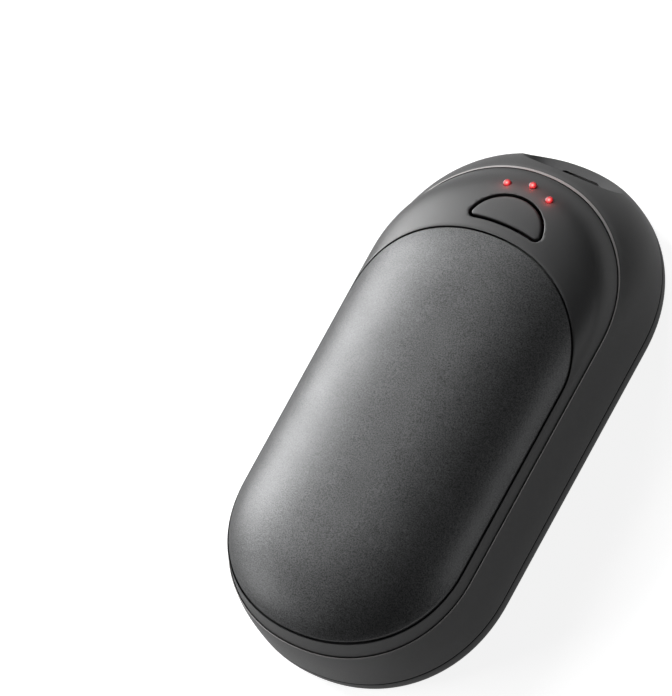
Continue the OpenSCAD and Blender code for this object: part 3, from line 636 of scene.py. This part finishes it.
def pull_tab(steps=8):
    """The raised tab at the cover's free end, square to the casing's side, with a soft outer edge."""
    levels = [(HALF_WIDTH - TAB_ROOT, 0.0)]
    for k in range(steps + 1):
        angle = math.pi / 2 * k / steps
        reach = HALF_WIDTH + TAB_PROUD - TAB_EDGE * (1 - math.sin(angle))
        levels.append((reach, TAB_EDGE * (1 - math.cos(angle))))
    return along_radius("pull_tab", TAB_ANGLE, [
        (reach, rounded_outline(TAB_LENGTH - 2 * inset, TAB_HEIGHT - 2 * inset, TAB_CORNER - inset))
        for reach, inset in levels
    ])


def port_cover(steps=24):
    """The soft flap round the corner, with rounded edges, its knuckle and the pull tab."""
    piece = corner_block("port_cover_visual", cover_section, HINGE_ANGLE, math.pi, 0.0)
    knuckle = upright(circle(KNUCKLE_RADIUS), HINGE_PLACE, COVER_LOW, COVER_HIGH)
    low, span = COVER_LOW - OVERRUN, COVER_HIGH - COVER_LOW + 2 * OVERRUN
    heights = [low + span * k / steps for k in range(steps + 1)]
    combine(knuckle, loft("limit", [ring(side_form(z), z) for z in heights]), "INTERSECT")
    join(piece, knuckle)
    join(piece, pull_tab())
    return finish(piece, "cover", "cover_rubber", "port_cover")


# Casing pieces

# Where the outside of the wall behind the scoop bends, above the seam
BACKING_BEND = 4 * MM

# The thickness of the back, and the width of its shelf over the plate
BACK_FLOOR = 1.9 * MM
PLATE_SHELF = 3 * MM

# The width of the bezel's shelf under the panel, and how far below the crown's surface the shelf and the
# panel's underside lie
PANEL_SHELF = 2.7 * MM
SHELF_DROP = 0.8 * MM
SHEET_DROP = 0.7 * MM

# Widths between which the bezel's section turns from straight to crowned, and how it ends at its foot
NARROW, WIDE = 1.5 * MM, 7 * MM
FOOT_EDGE = 0.1 * MM
FOOT_POWER = 8


def side_frame():
    """The side band with the walls of the port and the scoop, and with its ledge, painted with a highlight."""
    piece = band_shell()
    join(piece, port_wall(SEAM_Z, COVER_HIGH + COVER_GAP + BAY_RIM))
    backing = scoop(WALL)
    heights = (SEAM_Z, SEAM_Z + BACKING_BEND, CROWN_Z - RIM_DEPTH)
    limit = loft("limit", [ring(side_form(z).grown(-WALL / 2), z) for z in heights])
    combine(backing, limit, "INTERSECT")
    join(piece, backing)
    cut(piece, scoop())
    cut(piece, strap_slot(SEAM_Z - OVERRUN, SCOOP_CENTRE[2]))
    cut_port(piece)
    finish(piece, "casing", "casing_grey", "side_frame")
    # The ledge's upward faces get a pale colour: a painted highlight
    piece.data.materials.append(RIM_PAINTED_HIGHLIGHT)
    for face in piece.data.polygons:
        face.material_index = int(takes_ledge_highlight(face))
    return piece


def back_shell():
    """The shallow back: its rounded edge, its flat face with a place for the plate, and its inside."""
    steps = 26
    place = PLATE.grown(PLATE_GAP)
    rings = [ring(place, PLATE_SHEET), ring(place, EDGE), ring(PLATE.grown(PLATE_GAP + EDGE), 0)]
    for k in range(steps + 1):
        z = (SEAM_Z - SEAM_GROOVE - EDGE) * (k / steps) ** 2
        rings.append(ring(side_form(z), z))
    rings.append(ring(SEAM.grown(-EDGE_SHARE * EDGE), SEAM_Z - SEAM_GROOVE - EDGE_SHARE * EDGE))
    rings.append(ring(SEAM.grown(-EDGE), SEAM_Z - SEAM_GROOVE))
    rings.append(ring(SEAM.grown(-SEAM_DEPTH), SEAM_Z - SEAM_GROOVE))
    rings.append(ring(SEAM.grown(-SEAM_DEPTH), SEAM_Z))
    for z in (SEAM_Z, SEAM_Z * 0.75, SEAM_Z * 0.5, BACK_FLOOR):
        rings.append(ring(side_form(z).grown(-WALL), z))
    rings.append(ring(PLATE.grown(-PLATE_SHELF), BACK_FLOOR))
    rings.append(ring(PLATE.grown(-PLATE_SHELF), PLATE_SHEET))
    piece = loft("back_shell_visual", rings, around=True)
    join(piece, port_wall(COVER_LOW - COVER_GAP - BAY_RIM, SEAM_Z))
    cut(piece, strap_slot(-OVERRUN, SEAM_Z + OVERRUN))
    cut_port(piece)
    return finish(piece, "casing", "casing_grey", "back_shell")


def bezel_foot(station):
    """The bezel's outer edge, a gap inside the frame's rim."""
    return rim_form(station, RIM_GAP)


def bezel_ring(inner, share):
    """A ring across the bezel: on the crown where the bezel is wide, and straight where it's narrow."""
    points = []
    for station in STATIONS:
        foot = bezel_foot(station)
        x, y = inner.mixed(foot, share).point(station)
        start, end = Vector(inner.point(station)), Vector(foot.point(station))
        wide = min(max(((end - start).length - NARROW) / (WIDE - NARROW), 0), 1)
        top, low = crown_height(*start), rim_height(station) + FOOT_EDGE
        straight = top + (low - top) * share
        crowned = low + (crown_height(x, y) - low) * (1 - share ** FOOT_POWER)
        z = straight + (crowned - straight) * wide * wide * (3 - 2 * wide)
        points.append((x, y, z))
    return points


def front_bezel():
    """The crowned ring between the frame's rim and the panel's gap, with a shelf under the panel."""
    steps = 40
    inner = PANEL.grown(PANEL_GAP)
    shelf = inner.grown(-PANEL_SHELF)
    rings = [
        ring(shelf, below_crown(WALL)),
        ring(shelf, below_crown(SHELF_DROP)),
        ring(inner, below_crown(SHELF_DROP)),
        ring(inner, below_crown(EDGE)),
        ring(inner.grown(EDGE_SHARE * EDGE), below_crown(EDGE_SHARE * EDGE)),
    ]
    for k in range(steps + 1):
        rings.append(bezel_ring(inner.grown(EDGE), 1 - (1 - k / steps) ** 2))
    rings.append(ring(bezel_foot, CROWN_Z - RIM_DEPTH + EDGE))
    rings.append(ring(CROWN.grown(-WALL), CROWN_Z - RIM_DEPTH + EDGE))
    rings.append(ring(shelf.mixed(CROWN.grown(-WALL), 0.5), below_crown(WALL)))
    piece = loft("front_bezel_visual", rings, around=True)
    cut(piece, crescent_cutter())
    for place in LAMP_PLACES:
        cut(piece, upright(circle(LAMP_RADIUS + LAMP_GAP), place, CROWN_Z, CROWN_TOP + OVERRUN))
    return finish(piece, "casing", "casing_grey", "front_bezel")


def front_heat_panel():
    """The pillow: a closed sheet with a rounded edge, over its shelf."""
    steps = 60
    rings = [ring(PANEL.scaled(share), below_crown(SHEET_DROP)) for share in (0.01, 0.3, 0.6, 0.85, 1)]
    rings.append(ring(PANEL, below_crown(EDGE)))
    rings.append(ring(PANEL.grown(-EDGE_SHARE * EDGE), below_crown(EDGE_SHARE * EDGE)))
    top = PANEL.grown(-EDGE)
    for k in range(steps, 0, -1):
        rings.append(ring(top.scaled(math.sin(math.pi / 2 * k / steps)), panel_height))
    piece = loft("front_heat_panel_visual", rings)
    return finish(piece, "casing", "panel_graphite", "front_heat_panel")


def back_heat_panel():
    rings = [
        ring(PLATE, PLATE_SHEET),
        ring(PLATE, PLATE_EDGE),
        ring(PLATE.grown(-EDGE_SHARE * PLATE_EDGE), EDGE_SHARE * PLATE_EDGE),
        ring(PLATE.grown(-PLATE_EDGE), 0),
    ]
    piece = loft("back_heat_panel_visual", rings)
    return finish(piece, "casing", "panel_graphite", "back_heat_panel")


# Button and lamps

BUTTON_HALF = 7.2 * MM
BUTTON_BOW = 6.6 * MM
BUTTON_OFFSET = 2.7 * MM
BUTTON_ROUND = 0.9 * MM
CRESCENT_BASE = PANEL.grown(BUTTON_OFFSET)

# Edges of the key's top and of its opening, in millimetres: each point's distance inwards or outwards, and
# its drop below the crown's surface
KEY_EDGE = ((0.0, 0.32), (0.02, 0.2), (0.07, 0.1), (0.14, 0.045), (0.24, 0.012), (0.36, 0.0))
OPENING_EDGE = ((0.0, 0.16), (0.05, 0.06), (0.18, -0.01))

# Inside its edge, the key's top is made of smaller and smaller rings round a point
KEY_SHARES = (0.85, 0.7, 0.55, 0.4, 0.25, 0.1, 0.02)
KEY_CENTRE_OFFSET = 0.4 * MM

# The lamps: their distance from the button, the arc they lie in, and how high their domed lenses stand
LAMP_RADIUS = 0.7 * MM
LAMP_OFFSET = 3.1 * MM
LAMP_PITCH, LAMP_BOW = 4.3 * MM, 1.4 * MM
LENS_SUNK, LENS_DOME, LENS_TIP = 0.08 * MM, 0.12 * MM, 0.01 * MM

# A lens's glow from its middle outwards, and the small lights that colour the bezel round it
LAMP_GLOW = ((0.0, (1, 0.8, 0.75)), (0.22, (0.95, 0.32, 0.3)), (0.55, (0.45, 0.03, 0.04)),
             (1.0, (0.06, 0.003, 0.004)))
GLOW_SIZE, GLOW_HEIGHT = 0.3 * MM, 0.8 * MM
GLOW_POWER = 6e-4
GLOW_COLOUR = (1, 0.04, 0.03)


def base_curve(x):
    """The crescent's lower side: the panel's outline, moved out."""
    rise = (1 - (abs(x) / CRESCENT_BASE.half) ** CORNER_POWER) ** (1 / CORNER_POWER)
    return CRESCENT_BASE.top_mid + CRESCENT_BASE.top * rise


BUTTON_SIDE_Y = base_curve(BUTTON_HALF)
BUTTON_TOP_Y = BUTTON_SIDE_Y + BUTTON_BOW
LAMP_MID_Y = BUTTON_TOP_Y + LAMP_OFFSET
LAMP_PLACES = [(-LAMP_PITCH, LAMP_MID_Y - LAMP_BOW), (0, LAMP_MID_Y), (LAMP_PITCH, LAMP_MID_Y - LAMP_BOW)]


def base_normal(x, step=1e-6):
    slope = (base_curve(x + step) - base_curve(x - step)) / (2 * step)
    return Vector((-slope, 1)).normalized()


def bow_point(angle):
    """A point of the crescent's upper side, which is half an ellipse."""
    return Vector((BUTTON_HALF * math.cos(angle), BUTTON_SIDE_Y + BUTTON_BOW * math.sin(angle)))


def bow_normal(angle):
    return Vector((math.cos(angle) / BUTTON_HALF, math.sin(angle) / BUTTON_BOW)).normalized()


def tip_of_crescent(bow_steps=400, halvings=30, nearest=0.6, furthest=0.999):
    """Where a circle of the corner's radius touches both the base curve and the bow: x, centre, bow angle."""
    quarter = [math.pi / 2 * k / bow_steps for k in range(bow_steps + 1)]

    def gap(x):
        centre = Vector((x, base_curve(x))) + base_normal(x) * BUTTON_ROUND
        angle = min(quarter, key=lambda one: (bow_point(one) - centre).length)
        return (bow_point(angle) - centre).length - BUTTON_ROUND, centre, angle

    low, high = BUTTON_HALF * nearest, BUTTON_HALF * furthest
    for _ in range(halvings):
        middle = (low + high) / 2
        if gap(middle)[0] > 0:
            low = middle
        else:
            high = middle
    return low, *gap(low)[1:]


TIP_X, TIP_CENTRE, TIP_ANGLE = tip_of_crescent()


def crescent(distance, steps=48, corner_steps=16):
    """The button's outline, moved out by a distance: bow, left corner, base, right corner."""
    radius = BUTTON_ROUND + distance
    bow = []
    for k in range(steps + 1):
        angle = TIP_ANGLE + (math.pi - 2 * TIP_ANGLE) * k / steps
        bow.append(bow_point(angle) + bow_normal(angle) * distance)
    base = []
    for k in range(steps + 1):
        x = -TIP_X + 2 * TIP_X * k / steps
        base.append(Vector((x, base_curve(x))) - base_normal(x) * distance)
    corners = []
    for side in (-1, 1):
        centre = Vector((side * TIP_CENTRE.x, TIP_CENTRE.y))
        start, end = (bow[-1], base[0]) if side < 0 else (base[-1], bow[0])
        first = math.atan2(start.y - centre.y, start.x - centre.x)
        turn = (math.atan2(end.y - centre.y, end.x - centre.x) - first) % (2 * math.pi)
        angles = [first + turn * k / corner_steps for k in range(1, corner_steps)]
        corners.append([centre + radius * Vector((math.cos(angle), math.sin(angle))) for angle in angles])
    return bow + corners[0] + base + corners[1]


def crescent_ring(distance, height):
    return [(x, y, height(x, y) if callable(height) else height) for x, y in crescent(distance)]


def crescent_cutter():
    """What is cut out of the bezel round the button, flared at the surface to leave a soft edge."""
    reach = BUTTON_GAP / 2 + BUTTON_EASE
    rings = [crescent_ring(reach, CROWN_Z)]
    for outwards, drop in OPENING_EDGE:
        rings.append(crescent_ring(reach + outwards * MM, below_crown(drop * MM)))
    rings.append(crescent_ring(reach + OPENING_EDGE[-1][0] * MM, CROWN_TOP + OVERRUN))
    return loft("crescent_cutter", rings)


def power_button():
    """A crescent key whose top follows the crown, with a rounded edge and straight sides below it."""
    reach = -BUTTON_GAP / 2 - BUTTON_EASE
    rings = [crescent_ring(reach, below_crown(WALL))]
    for inwards, drop in KEY_EDGE:
        rings.append(crescent_ring(reach - inwards * MM, below_crown(drop * MM)))
    outline = crescent(reach - KEY_EDGE[-1][0] * MM)
    centre = Vector((0, (BUTTON_SIDE_Y + BUTTON_TOP_Y) / 2 - KEY_CENTRE_OFFSET))
    for share in KEY_SHARES:
        points = [centre + (point - centre) * share for point in outline]
        rings.append([(x, y, crown_height(x, y)) for x, y in points])
    piece = loft("power_button_visual", rings)
    return finish(piece, "button", "button_grey", "power_button")


def lamp_pin(place, steps=12):
    """A clear pin through the bezel, with a domed lens that stands just out of the crown at its middle."""
    x, y = place
    bottom = crown_height(x, y) - LENS_SUNK
    rings = [[(x + across, y + up, CROWN_Z) for across, up in circle(LAMP_RADIUS)]]
    for k in range(steps + 1):
        polar = math.pi / 2 * k / steps
        radius = max(LAMP_RADIUS * math.cos(polar), LENS_TIP)
        z = bottom + LENS_DOME * math.sin(polar)
        rings.append([(x + across, y + up, z) for across, up in circle(radius)])
    return loft("light_guide_visual", rings)


def light_guide():
    """The three clear pins, as one piece."""
    piece, *others = [lamp_pin(place) for place in LAMP_PLACES]
    for pin in others:
        join(piece, pin)
    return finish(piece, "casing", "lamp_clear", "light_guide")


def light_the_lenses():
    """Makes each lens glow, brightest at its middle."""
    tree = FINISHES["lamp_clear"].node_tree
    nodes, links = tree.nodes, tree.links
    coordinates = nodes.new("ShaderNodeTexCoord")
    level = nodes.new("ShaderNodeVectorMath")
    level.operation = "MULTIPLY"
    level.inputs[1].default_value = (1, 1, 0)
    links.new(coordinates.outputs["Object"], level.inputs[0])
    nearest = None
    for place in LAMP_PLACES:
        apart = nodes.new("ShaderNodeVectorMath")
        apart.operation = "DISTANCE"
        apart.inputs[1].default_value = (*place, 0)
        links.new(level.outputs["Vector"], apart.inputs[0])
        distance = apart.outputs["Value"]
        nearest = calculated(nodes, links, "MINIMUM", nearest, distance) if nearest else distance
    share = nodes.new("ShaderNodeMapRange")
    share.inputs["From Max"].default_value = LAMP_RADIUS
    links.new(nearest, share.inputs["Value"])
    glow = nodes.new("ShaderNodeValToRGB")
    ramp = glow.color_ramp
    for k, (stop, colour) in enumerate(LAMP_GLOW):
        element = ramp.elements[k] if k < 2 else ramp.elements.new(stop)
        element.position = stop
        element.color = (*colour, 1)
    links.new(share.outputs["Result"], glow.inputs["Fac"])
    shader = nodes["Principled BSDF"]
    links.new(glow.outputs["Color"], shader.inputs["Emission Color"])
    shader.inputs["Emission Strength"].default_value = 1


def light_round_the_lamps():
    """A small red light over each lens colours the bezel round it, and isn't seen or mirrored itself."""
    for place in LAMP_PLACES:
        data = bpy.data.lights.new("lamp_glow", "POINT")
        data.shadow_soft_size = GLOW_SIZE
        data.energy = GLOW_POWER
        data.color = GLOW_COLOUR
        lamp = bpy.data.objects.new("lamp_glow", data)
        lamp.location = (*place, crown_height(*place) + GLOW_HEIGHT)
        lamp.visible_camera = lamp.visible_glossy = False
        bpy.context.scene.collection.objects.link(lamp)


side_frame()
back_shell()
front_bezel()
front_heat_panel()
back_heat_panel()
power_button()
light_guide()
light_the_lenses()
light_round_the_lamps()
port_cover()

# Finishes of the pieces inside, which keep their shape
slot_of = {}
for part in frame["record"]["subparts"]:
    slot_of[part.get("node") or part.get("name")] = part.get("material") or part.get("material_slot")
for name, piece in frame["nodes"].items():
    if not piece.hide_render and slot_of.get(name) in FINISHES:
        for index in range(len(piece.material_slots)):
            piece.material_slots[index].material = FINISHES[slot_of[name]]

# Camera: a long lens far away, at the photograph's angle
IMAGE_HEIGHT = 696
SENSOR = 36
VIEW_DISTANCE = 3.0
VIEW_AZIMUTH = math.radians(-25.9)
VIEW_ELEVATION = math.radians(60.91)
VIEW_ROLL = math.radians(-38.2)
PIXELS_PER_METRE = 5863
VIEW_OFFSET = (-19.67 * MM, 12.41 * MM)

# Floor: its half size, its place just under the casing, its grey, and how bright it glows by itself for the
# camera and in what the casing mirrors
FLOOR_HALF = 4.0
FLOOR_Z = -0.02 * MM
FLOOR_GREY = 0.45
FLOOR_GLOW = 0.85
FLOOR_MIRRORED = 0.33

# Light from all round
WORLD_COLOUR = (0.9, 0.95, 1.0)
WORLD_STRENGTH = 0.04

# Square soft boxes: direction, side, and what the box shows in a mirror
LIGHT_DISTANCE = 1.5
LIGHTS = {
    "key": ((-0.88, 0.22, 0.42), 0.8, 10.3),
    "key_low": ((-0.93, 0.1, 0.28), 0.6, 7),
    "key_high": ((-0.72, 0.2, 0.66), 0.7, 4.7),
    "end": ((-0.46, 0.76, 0.46), 0.5, 6.2),
    "rim": ((0.88, 0.22, 0.42), 0.6, 2.4),
    "front": ((-0.74, -0.48, 0.42), 0.6, 7.5),
}


def add_camera():
    back = Vector((math.cos(VIEW_AZIMUTH) * math.cos(VIEW_ELEVATION),
                   math.sin(VIEW_AZIMUTH) * math.cos(VIEW_ELEVATION), math.sin(VIEW_ELEVATION)))
    level = Vector((0, 0, 1)).cross(back).normalized()
    turn = Matrix.Rotation(VIEW_ROLL, 3, back)
    right = turn @ level
    up = back.cross(right)
    camera = bpy.data.objects.new("camera", bpy.data.cameras.new("camera"))
    camera.data.sensor_width = SENSOR
    camera.data.lens = PIXELS_PER_METRE * VIEW_DISTANCE / IMAGE_HEIGHT * SENSOR
    middle = Vector((0, 0, SEAM_Z)) + right * VIEW_OFFSET[0] + up * VIEW_OFFSET[1]
    axes = Matrix((right, up, back)).transposed().to_4x4()
    camera.matrix_world = Matrix.Translation(middle + back * VIEW_DISTANCE) @ axes
    bpy.context.scene.collection.objects.link(camera)
    bpy.context.scene.camera = camera


def floor_material():
    """A grey that takes the lights and the shadow, with a glow of its own for the camera and for mirrors."""
    material, nodes, links, shader = new_material("floor")
    shader.inputs["Base Color"].default_value = (FLOOR_GREY, FLOOR_GREY, FLOOR_GREY, 1)
    shader.inputs["Roughness"].default_value = 0.9
    shader.inputs["Specular IOR Level"].default_value = 0.0
    rays = nodes.new("ShaderNodeLightPath").outputs
    shown = calculated(nodes, links, "MAXIMUM", rays["Is Camera Ray"], rays["Is Transmission Ray"])
    seen = calculated(nodes, links, "MULTIPLY", shown, FLOOR_GLOW)
    mirrored = calculated(nodes, links, "MULTIPLY", rays["Is Glossy Ray"], FLOOR_MIRRORED)
    shader.inputs["Emission Color"].default_value = (1, 1, 1, 1)
    links.new(calculated(nodes, links, "MAXIMUM", seen, mirrored), shader.inputs["Emission Strength"])
    return material


def add_floor():
    corners = [(FLOOR_HALF * x, FLOOR_HALF * y, 0) for x, y in ((-1, -1), (1, -1), (1, 1), (-1, 1))]
    floor = mesh_piece("floor", corners, [(0, 1, 2, 3)])
    floor.location.z = FLOOR_Z
    floor.data.materials.append(floor_material())


def add_light(name, direction, side, radiance):
    """A square soft box that faces the object."""
    data = bpy.data.lights.new(name, "AREA")
    data.shape = "SQUARE"
    data.size = side
    data.energy = radiance * math.pi * side * side
    lamp = bpy.data.objects.new(name, data)
    outward = Vector(direction).normalized()
    lamp.location = outward * LIGHT_DISTANCE
    lamp.rotation_euler = outward.to_track_quat("Z", "Y").to_euler()
    bpy.context.scene.collection.objects.link(lamp)


def add_world():
    world = bpy.data.worlds.new("world")
    world.use_nodes = True
    background = world.node_tree.nodes["Background"]
    background.inputs["Color"].default_value = (*WORLD_COLOUR, 1)
    background.inputs["Strength"].default_value = WORLD_STRENGTH
    bpy.context.scene.world = world


add_camera()
add_floor()
add_world()
for name, (direction, side, radiance) in LIGHTS.items():
    add_light(name, direction, side, radiance)
bpy.context.scene.view_settings.view_transform = "Standard"
